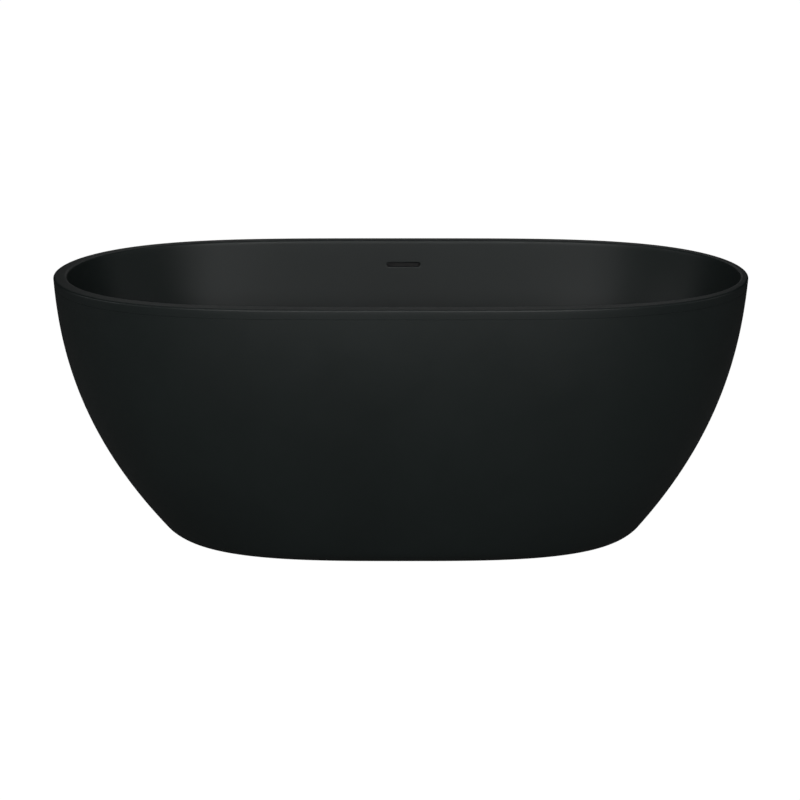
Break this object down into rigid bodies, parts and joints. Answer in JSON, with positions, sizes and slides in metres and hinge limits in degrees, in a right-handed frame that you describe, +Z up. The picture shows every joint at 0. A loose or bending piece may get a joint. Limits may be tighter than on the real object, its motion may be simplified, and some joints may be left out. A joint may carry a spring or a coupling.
{
  "type": "freestanding bathtub",
  "caption": "Freestanding oval double-ended bath with a thin flat rim, sloping ends, slot overflow, push-down plug, hidden steel cradle, trap and levelling feet.",
  "frame": {"origin": "on the floor, under the middle of the rim's outline", "axes": "+X along the bath, +Y towards the long side with the overflow slot, +Z up"},
  "size_m": [1.4996, 0.7498, 0.58],
  "materials": {
    "matt_acrylic": "smooth silky matt, solid black through the sheet",
    "glass_fibre": "raw laminated glass fibre",
    "chipboard": "raw particle board",
    "frame_steel": "black powder coat",
    "bracket_steel": "black powder coat",
    "zinc_steel": "bright zinc plate",
    "seal_rubber": "soft black rubber",
    "channel_plastic": "moulded black plastic",
    "hose_plastic": "flexible grey hose",
    "black_metal": "matt black coated brass",
    "brass_guide": "turned brass",
    "trap_plastic": "moulded white polypropylene",
    "spring_steel": "stainless spring wire",
    "pad_plastic": "moulded black nylon"
  },
  "bodies": {
    "tub": {"inner_shell": "matt_acrylic", "outer_skirt": "matt_acrylic", "bond_strip": "glass_fibre", "base_board": "chipboard", "rail_front": "frame_steel", "rail_back": "frame_steel", "rail_screws": "zinc_steel", "cross_bar_left": "frame_steel", "cross_bar_right": "frame_steel", "cross_bar_middle": "frame_steel", "skirt_brackets": "bracket_steel", "bracket_screws": "zinc_steel", "foot_bushes": "zinc_steel", "jam_nuts": "zinc_steel", "overflow_gasket": "seal_rubber", "overflow_channel": "channel_plastic", "overflow_hose": "hose_plastic", "hose_clips": "zinc_steel", "waste_flange": "black_metal", "flange_gasket": "seal_rubber", "lower_gasket": "seal_rubber", "waste_back_nut": "channel_plastic", "waste_body": "trap_plastic", "plug_guide": "brass_guide", "trap_body": "trap_plastic", "trap_nuts": "trap_plastic", "trap_seals": "seal_rubber", "trap_cap": "trap_plastic", "outlet_pipe": "trap_plastic"},
    "plug": {"plug_cap": "black_metal", "plug_stem": "zinc_steel", "plug_seal": "seal_rubber", "plug_spring": "spring_steel"},
    "foot_1": {"foot_pad_1": "pad_plastic"},
    "stud_1": {"foot_stud_1": "zinc_steel"},
    "foot_2": {"foot_pad_2": "pad_plastic"},
    "stud_2": {"foot_stud_2": "zinc_steel"},
    "foot_3": {"foot_pad_3": "pad_plastic"},
    "stud_3": {"foot_stud_3": "zinc_steel"},
    "foot_4": {"foot_pad_4": "pad_plastic"},
    "stud_4": {"foot_stud_4": "zinc_steel"},
    "foot_5": {"foot_pad_5": "pad_plastic"},
    "stud_5": {"foot_stud_5": "zinc_steel"}
  },
  "joints": [
    {"name": "plug_press", "type": "slide", "parent": "tub", "child": "plug", "axis": [0, 0, 1], "range_m": [-0.01, 0], "stiffness_N_per_m": 600, "springref_m": 0.012, "deforming": ["plug_spring"]},
    {"name": "foot_1_height", "type": "slide", "parent": "tub", "child": "foot_1", "axis": [0, 0, 1], "range_m": [-0.015, 0.008]},
    {"name": "stud_1_turn", "type": "hinge", "parent": "foot_1", "child": "stud_1", "pos_m": [-0.3237, -0.15, 0.05], "axis": [0, 0, 1], "range_deg": [-3610, 1930]},
    {"name": "foot_2_height", "type": "slide", "parent": "tub", "child": "foot_2", "axis": [0, 0, 1], "range_m": [-0.015, 0.008]},
    {"name": "stud_2_turn", "type": "hinge", "parent": "foot_2", "child": "stud_2", "pos_m": [-0.3237, 0.15, 0.05], "axis": [0, 0, 1], "range_deg": [-3610, 1930]},
    {"name": "foot_3_height", "type": "slide", "parent": "tub", "child": "foot_3", "axis": [0, 0, 1], "range_m": [-0.015, 0.008]},
    {"name": "stud_3_turn", "type": "hinge", "parent": "foot_3", "child": "stud_3", "pos_m": [0.3363, -0.15, 0.05], "axis": [0, 0, 1], "range_deg": [-3610, 1930]},
    {"name": "foot_4_height", "type": "slide", "parent": "tub", "child": "foot_4", "axis": [0, 0, 1], "range_m": [-0.015, 0.008]},
    {"name": "stud_4_turn", "type": "hinge", "parent": "foot_4", "child": "stud_4", "pos_m": [0.3363, 0.15, 0.05], "axis": [0, 0, 1], "range_deg": [-3610, 1930]},
    {"name": "foot_5_height", "type": "slide", "parent": "tub", "child": "foot_5", "axis": [0, 0, 1], "range_m": [-0.015, 0.008]},
    {"name": "stud_5_turn", "type": "hinge", "parent": "foot_5", "child": "stud_5", "pos_m": [-0.1337, 0, 0.05], "axis": [0, 0, 1], "range_deg": [-3610, 1930]}
  ],
  "couplings": [
    {"joint": "stud_1_turn", "follows": "foot_1_height", "rad_per_m": 4188.8},
    {"joint": "stud_2_turn", "follows": "foot_2_height", "rad_per_m": 4188.8},
    {"joint": "stud_3_turn", "follows": "foot_3_height", "rad_per_m": 4188.8},
    {"joint": "stud_4_turn", "follows": "foot_4_height", "rad_per_m": 4188.8},
    {"joint": "stud_5_turn", "follows": "foot_5_height", "rad_per_m": 4188.8}
  ]
}
